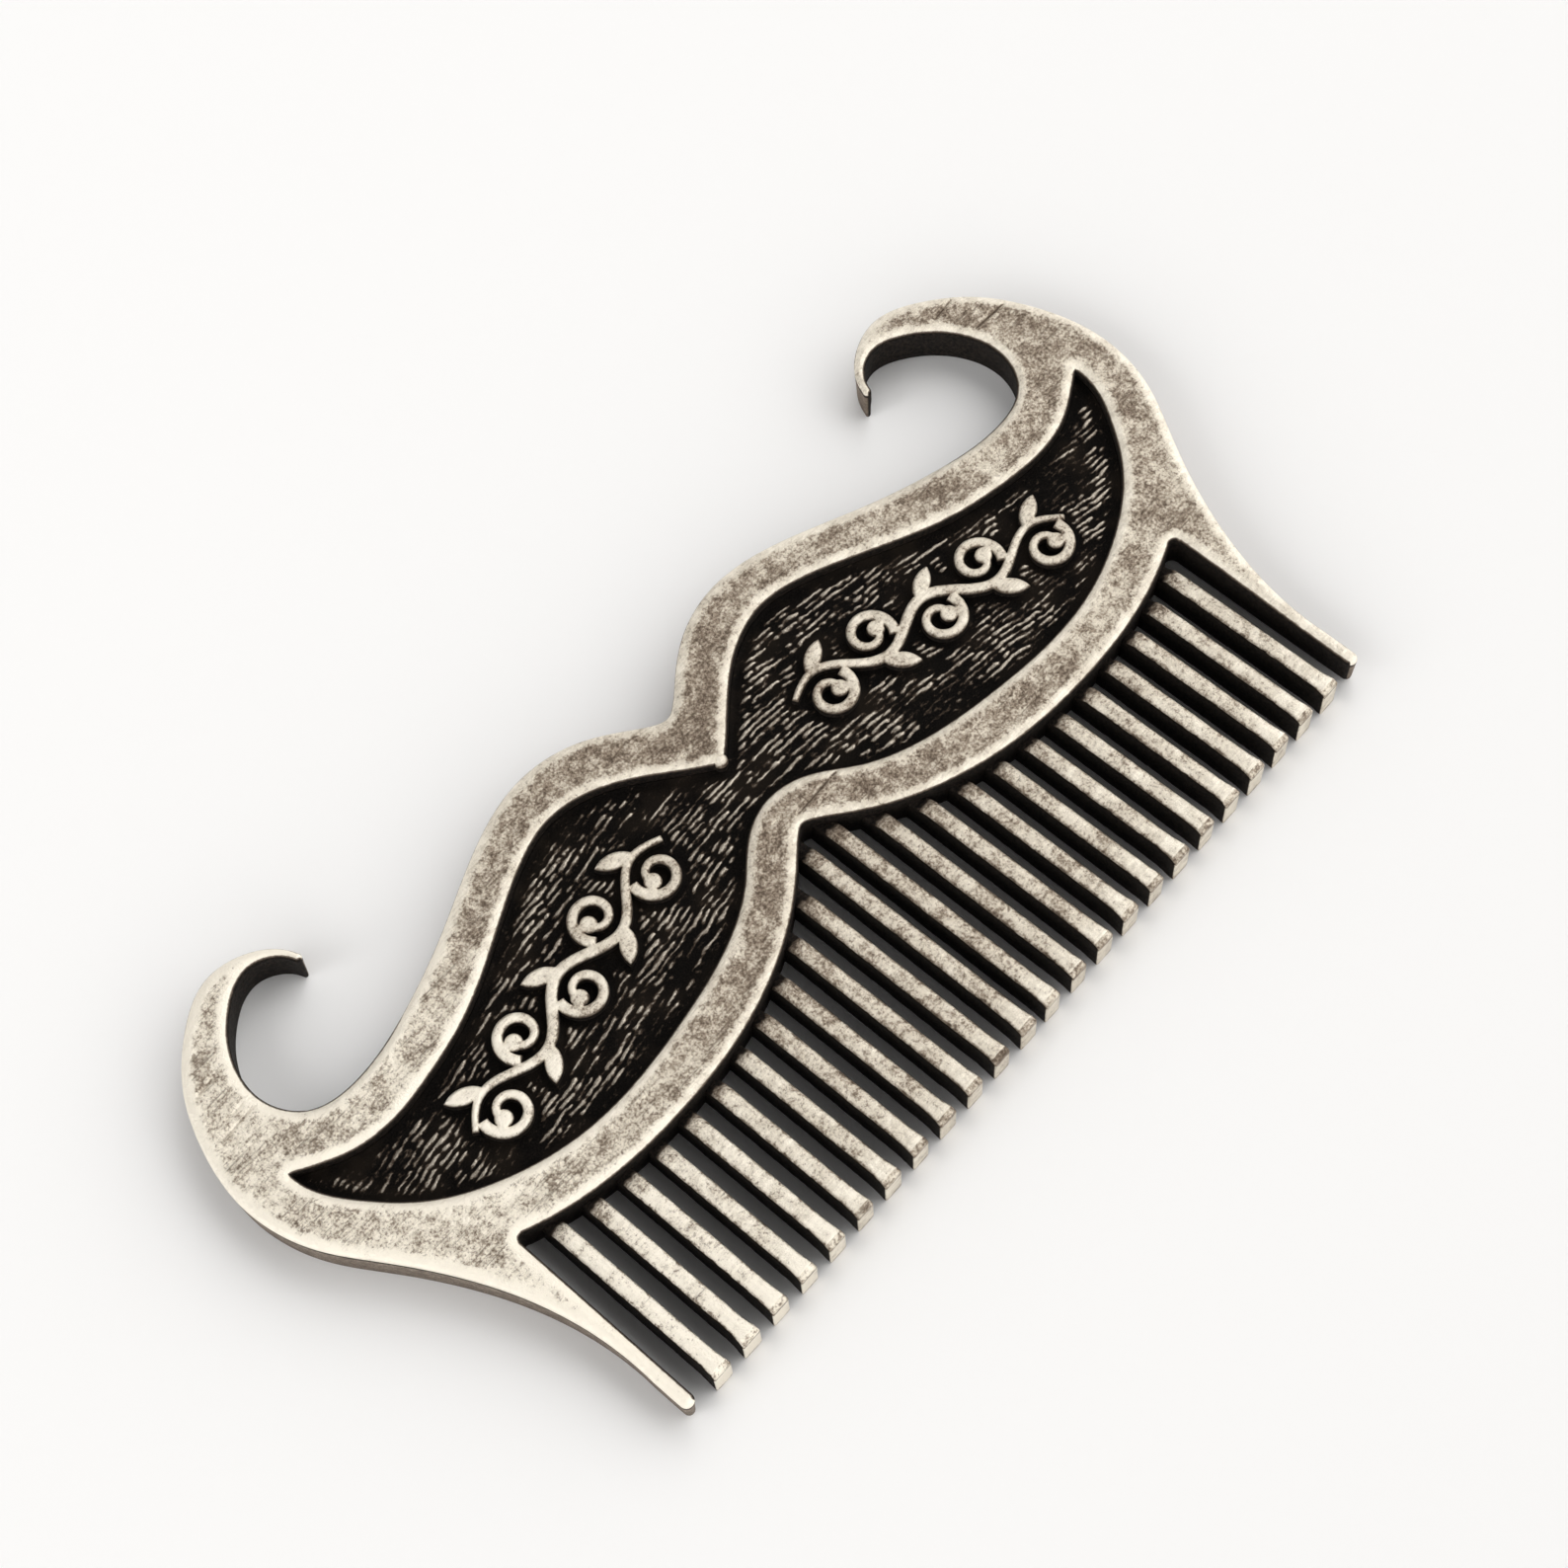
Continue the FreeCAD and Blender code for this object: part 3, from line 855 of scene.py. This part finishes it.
def build_tine(node, index, outline, silver):
    """A blunt bar with a crowned top, rounded edges, a dipped root, and a flared, bevelled tip."""
    low, high = (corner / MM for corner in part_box(node))
    middle = (low.x + high.x) / 2
    half = (high.x - low.x) / 2
    length = high.y - low.y
    steps = round((length + EMBED) / TINE_STEP)
    ys = low.y + np.concatenate([TIP_STEPS, np.linspace(TIP_ZONE, length + EMBED, steps)])
    line = np.column_stack([np.full(len(ys), middle), ys])
    root_gap = np.where(outline.inside(line), 0, outline.distance(line)[0])
    sections = tine_skin(index, middle, half, length, ys, root_gap)
    ring = len(sections[0])
    points = np.vstack(sections)
    triangles = capped(points, loft(ring, len(sections)))
    triangles = triangles[:, ::-1]    # the rings run clockwise, so loft() made them face inwards
    rough = rough_noise_at(points, 0.45, 20 + index)
    below = np.repeat([section[:, 2].max() for section in sections], ring) - points[:, 2]
    wear, grime = tine_patina(points[:, 1] - low.y, below, points[:, 2], np.repeat(root_gap, ring), rough)
    points[:, 2] += TINE_ROUGHNESS * rough * (below < 0.1)
    points[:, 0] += TINE_ROUGHNESS * rough * (below > 0.2) * np.sign(points[:, 0] - middle)
    new_piece(node, points, triangles, silver, "worn_silver", wear=wear, grime=grime)


# ---------------------------------------------------------------- field, ornament and bead

FIELD_GRID = 0.11
FIELD_STRETCH = 1.5
FIELD_RINGS = (0.08, 0.18)
FIELD_SWELL = 0.03
FIELD_DENT = 0.02
FIELD_FILLET = 0.16      # how high the floor rises where it meets the rim
SCROLL_FILLET = 0.07     # and where it meets the ornament
HAIR_PITCH = 0.46        # between neighbouring hair lines
HAIR_RISE = 0.17
HAIR_SLOPE = 0.15        # the lines fall away from the middle this steeply
HAIR_BEND = 3.0          # and bend over this distance
HAIR_THICK = 0.25        # in shares of the pitch
HAIR_WANDER = ((0.35, 5.0, 31), (0.15, 1.3, 32), (0.07, 0.45, 37))    # amount, wavelength and seed


def hair(points, clear):
    """Combed hair lines: how high each point stands, and how near it is to a crest."""
    x, y = points.T
    flat = grounded(points)
    across = y + HAIR_SLOPE * (np.sqrt(x * x + HAIR_BEND ** 2) - HAIR_BEND)
    for amount, wavelength, seed in HAIR_WANDER:
        across = across + amount * noise_at(flat, wavelength, seed)
    row = np.floor(across / HAIR_PITCH)
    off = across / HAIR_PITCH - row - 0.5

    def along(wavelength, seed):
        """Noise that changes along each line and differs from one line to the next."""
        return noise_at(np.column_stack([x / wavelength, row * 7.31, row * 3.77]), 1.0, seed)

    present = smooth_step(along(2.4, 33), -0.36, -0.12)
    beads = smooth_step(along(0.6, 38), -0.4, -0.1)
    thick = HAIR_THICK + 0.12 * along(0.9, 34)
    shape = np.exp(-(off / np.maximum(thick, 0.08)) ** 2)
    tall = 0.72 + 0.4 * along(1.7, 35)
    crowd = smooth_step(noise_at(flat, 4.0, 36), -0.45, 0.0)
    crest = shape * present * (0.3 + 0.7 * beads) * tall * clear * (0.25 + 0.75 * crowd)
    return HAIR_RISE * crest, crest


def build_field(scrolls, patina):
    """The sunken floor, closed to the back, with its relief fading out near the rim and the ornament."""
    outline = Outline(flat_face_loops(["field_floor"], FIELD_TOP)[:1], OUTLINE_STEP)
    flat, face = fill(outline, FIELD_RINGS, FIELD_GRID, stretch=FIELD_STRETCH)
    gap = outline.distance(flat)[0]
    samples = len(outline.points)
    gap[:samples] = 0
    beside = [np.where(scroll.inside(flat), 0, scroll.distance(flat)[0]) for scroll in scrolls]
    beside = np.minimum.reduce(beside)
    clear = smooth_step(gap, 0.45, 1.1) * smooth_step(beside, 0.3, 0.75)
    rise, crest = hair(flat, clear)
    ground = grounded(flat)
    z = FIELD_TOP + rise + FIELD_SWELL * noise_at(ground, 3.0, 40)
    z += FIELD_DENT * rough_noise_at(ground, 0.7, 41)
    z += FIELD_FILLET * np.exp(-(gap / 0.16) ** 2) + SCROLL_FILLET * np.exp(-(beside / 0.14) ** 2)
    points = np.vstack([np.column_stack([flat, z]), grounded(outline.points)])
    crest = np.concatenate([crest, np.zeros(samples)])
    triangles = skin(outline, face, len(flat), 1)
    new_piece("field_floor", points, triangles, patina, "dark_patina", crest=crest)


SCROLL_STEP = 0.09
SCROLL_RINGS = (0.03, 0.08, 0.15, 0.23)
SCROLL_ROUND = 0.3
SCROLL_DROP = 0.28
SCROLL_DENT = 0.035
SCROLL_SPREAD = 0.06     # the sides of the ornament spread outwards by this much on their way down
SCROLL_FOOT = 0.15       # how far the ornament reaches down into the field's floor
SCROLL_ROWS = 4


def build_scroll(node, outline, silver):
    """A leaf scroll with rounded, rubbed edges and a slightly dented face."""
    flat, face = fill(outline, SCROLL_RINGS, SCROLL_STEP)
    gap = outline.distance(flat)[0]
    samples = len(outline.points)
    gap[:samples] = 0
    t = np.clip(1 - gap / SCROLL_ROUND, 0, 1)
    z = SCROLL_TOP - SCROLL_DROP * (1 - np.sqrt(1 - t * t))
    z += SCROLL_DENT * rough_noise_at(grounded(flat), 0.9, 51)
    points = [np.column_stack([flat, z])]
    edge = z[:samples]
    for t in np.linspace(0, 1, SCROLL_ROWS + 1)[1:]:
        height = edge + (FIELD_TOP - SCROLL_FOOT - edge) * t
        points.append(np.column_stack([outline.points - outline.inward * SCROLL_SPREAD * t, height]))
    walls = SCROLL_ROWS * samples
    wear = np.concatenate([0.5 * smooth_step(gap, 0.0, 0.12), np.zeros(walls)])
    grime = np.concatenate([0.55 * smooth_step(gap, 0.07, 0.0), np.full(walls, 1.2)])
    triangles = skin(outline, face, len(flat), SCROLL_ROWS)
    new_piece(node, np.vstack(points), triangles, silver, "worn_silver", wear=wear, grime=grime)


BEAD_SIDES = 40
BEAD_DOME = 0.42
BEAD_SPREAD = 0.03
BEAD_RISE = 0.1          # the bead stands this much higher and reaches this much deeper than its CAD box
BEAD_DENT = 0.02


def build_bead(silver):
    """The small bright dome at the point of the rim's V."""
    low, high = (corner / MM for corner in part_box("centre_bead"))
    radius = (high.x - low.x) / 2 + BEAD_SPREAD
    bottom = low.z - BEAD_RISE
    top = high.z + BEAD_RISE
    profile = [(radius, bottom), (radius, low.z + 0.3), (radius, high.z - BEAD_DOME)]
    profile += [(radius * math.cos(a), top - BEAD_DOME + BEAD_DOME * math.sin(a))
                for a in np.linspace(0, math.pi / 2, 9)[:-1]]
    angles = 2 * math.pi * np.arange(BEAD_SIDES) / BEAD_SIDES
    points = [(0, 0, bottom)]
    points += [(r * math.cos(angle), r * math.sin(angle), z) for r, z in profile for angle in angles]
    points = np.array(points + [(0, 0, top)]) + ((low.x + high.x) / 2, (low.y + high.y) / 2, 0)
    k = np.arange(BEAD_SIDES)
    after = np.roll(k, -1)
    last = 1 + (len(profile) - 1) * BEAD_SIDES
    bottom_fan = np.stack([np.zeros(BEAD_SIDES, int), 1 + after, 1 + k], axis=1)
    top_fan = np.stack([last + k, last + after, np.full(BEAD_SIDES, len(points) - 1)], axis=1)
    triangles = np.vstack([bottom_fan, loft(BEAD_SIDES, len(profile), first=1), top_fan])
    below = top - points[:, 2]
    points[:, :2] += BEAD_DENT * rough_noise_at(points, 0.5, 61)[:, None]
    new_piece("centre_bead", points, triangles, silver, "worn_silver",
              wear=smooth_step(below, 0.35, 0.05), grime=smooth_step(below, 0.35, 0.6))


# ---------------------------------------------------------------- stage, light and camera

FLOOR_HALF = 3.0         # metres, like the places of the lamps and the camera below
FLOOR_GAP = 0.00002
FLOOR_COLOUR = (0.95, 0.95, 0.95, 1)
LAMP_DISTANCE = 0.6
LAMPS = {                # direction from the comb, size and power
    "key": ((0.6, 0.35, 0.72), (0.22, 0.45), 0.45),
    "left": ((-0.8, 0.3, 0.55), (0.2, 0.45), 0.6)}
ROOM_COLOUR = (1.0, 0.985, 0.965, 1)
SIDE_LIGHT = 1.86
FAR_SHARE = 0.45         # how much of that is left towards +Y, behind the rim
OVERHEAD_LIGHT = 0.1
DARK_LEAN = -0.32        # the dim strip of sky leans towards -X, where it faces the slots' visible floor

# The camera looks down at the face from beyond the left end of the tips, turned so that the row runs uphill.
CAMERA_PLACE = (-0.05911, -0.06287, 0.18561)
CAMERA_RIGHT = (0.66109, -0.74886, -0.04655)
CAMERA_UP = (0.68823, 0.58051, 0.43515)
LENS = 68.01
SENSOR = 36.0


def add_object(name, data):
    made = bpy.data.objects.new(name, data)
    bpy.context.scene.collection.objects.link(made)
    return made


def build_stage():
    """A plain pale floor that the comb lies on."""
    mesh = bpy.data.meshes.new("floor")
    corners = [(x * FLOOR_HALF, y * FLOOR_HALF, 0) for x, y in ((-1, -1), (1, -1), (1, 1), (-1, 1))]
    mesh.from_pydata(corners, [], [(0, 1, 2, 3)])
    floor = add_object("floor", mesh)
    s = Shader("floor_paint")
    s.put(s.surface.inputs["Base Color"], FLOOR_COLOUR)
    s.put(s.surface.inputs["Roughness"], 0.9)
    mesh.materials.append(s.material)
    floor.location.z = -FLOOR_GAP


def softbox(name, direction, size, power):
    """An area light that faces the comb from one direction."""
    light = bpy.data.lights.new(name, "AREA")
    light.shape = "RECTANGLE"
    light.size, light.size_y = size
    light.energy = power
    lamp = add_object(name, light)
    away = Vector(direction).normalized()
    lamp.location = away * LAMP_DISTANCE
    lamp.rotation_mode = "QUATERNION"
    lamp.rotation_quaternion = away.to_track_quat("Z", "Y")


def build_world():
    """A soft white room: dim overhead and along the slots, bright low down and to the left and right."""
    world = bpy.data.worlds.new("studio")
    world.use_nodes = True
    tree = world.node_tree

    def node(kind, first, second=None, **settings):
        made = tree.nodes.new(kind)
        for key, value in settings.items():
            setattr(made, key, value)
        tree.links.new(first, made.inputs[0])
        if second is not None:
            tree.links.new(second, made.inputs[1])
        return made

    def ramp(value, low, high, to_low, to_high):
        made = node("ShaderNodeMapRange", value, interpolation_type="SMOOTHSTEP")
        for key, number in (("From Min", low), ("From Max", high), ("To Min", to_low), ("To Max", to_high)):
            made.inputs[key].default_value = number
        return made.outputs[0]

    place = tree.nodes.new("ShaderNodeTexCoord")
    split = node("ShaderNodeSeparateXYZ", place.outputs["Generated"])
    lean = node("ShaderNodeMath", split.outputs["X"], split.outputs["Z"], operation="DIVIDE")
    off_strip = node("ShaderNodeMath", lean.outputs[0], operation="SUBTRACT")
    off_strip.inputs[1].default_value = DARK_LEAN
    off_strip = node("ShaderNodeMath", off_strip.outputs[0], operation="ABSOLUTE")
    overhead = node("ShaderNodeMath", ramp(split.outputs["Z"], 0.25, 0.6, 0.0, 1.0),
                    ramp(off_strip.outputs[0], 0.32, 0.95, 1.0, 0.0), operation="MULTIPLY")
    level = node("ShaderNodeMath", ramp(overhead.outputs[0], 0.0, 1.0, SIDE_LIGHT, OVERHEAD_LIGHT),
                 ramp(split.outputs["Y"], -0.1, 0.7, 1.0, FAR_SHARE), operation="MULTIPLY")
    background = tree.nodes["Background"]
    tree.links.new(level.outputs[0], background.inputs["Strength"])
    background.inputs["Color"].default_value = ROOM_COLOUR
    bpy.context.scene.world = world


def build_light():
    build_world()
    for name, (direction, size, power) in LAMPS.items():
        softbox(name, direction, size, power)
    bpy.context.scene.view_settings.view_transform = "Standard"


def build_camera():
    camera = add_object("camera", bpy.data.cameras.new("camera"))
    right = Vector(CAMERA_RIGHT).normalized()
    back = right.cross(Vector(CAMERA_UP)).normalized()
    up = back.cross(right)
    camera.matrix_world = Matrix.Translation(CAMERA_PLACE) @ Matrix((right, up, back)).transposed().to_4x4()
    camera.data.sensor_width = SENSOR
    camera.data.lens = LENS
    camera.data.clip_start = 0.01
    bpy.context.scene.camera = camera


def build():
    silver = worn_silver()
    patina = dark_patina()
    outline = build_casting(silver)
    scrolls = []
    for side in SIDES:
        node = side + "_leaf_scroll"
        scroll = Outline(flat_face_loops([node], SCROLL_TOP), SCROLL_STEP)
        build_scroll(node, scroll, silver)
        scrolls.append(scroll)
    build_field(scrolls, patina)
    build_bead(silver)
    for i in range(TINES_PER_SIDE):
        for side in SIDES:
            build_tine("%s_tine_%02d" % (side, i + 1), 2 * i + (side == "right"), outline, silver)
    build_stage()
    build_light()
    build_camera()


build()
bpy.context.view_layer.update()
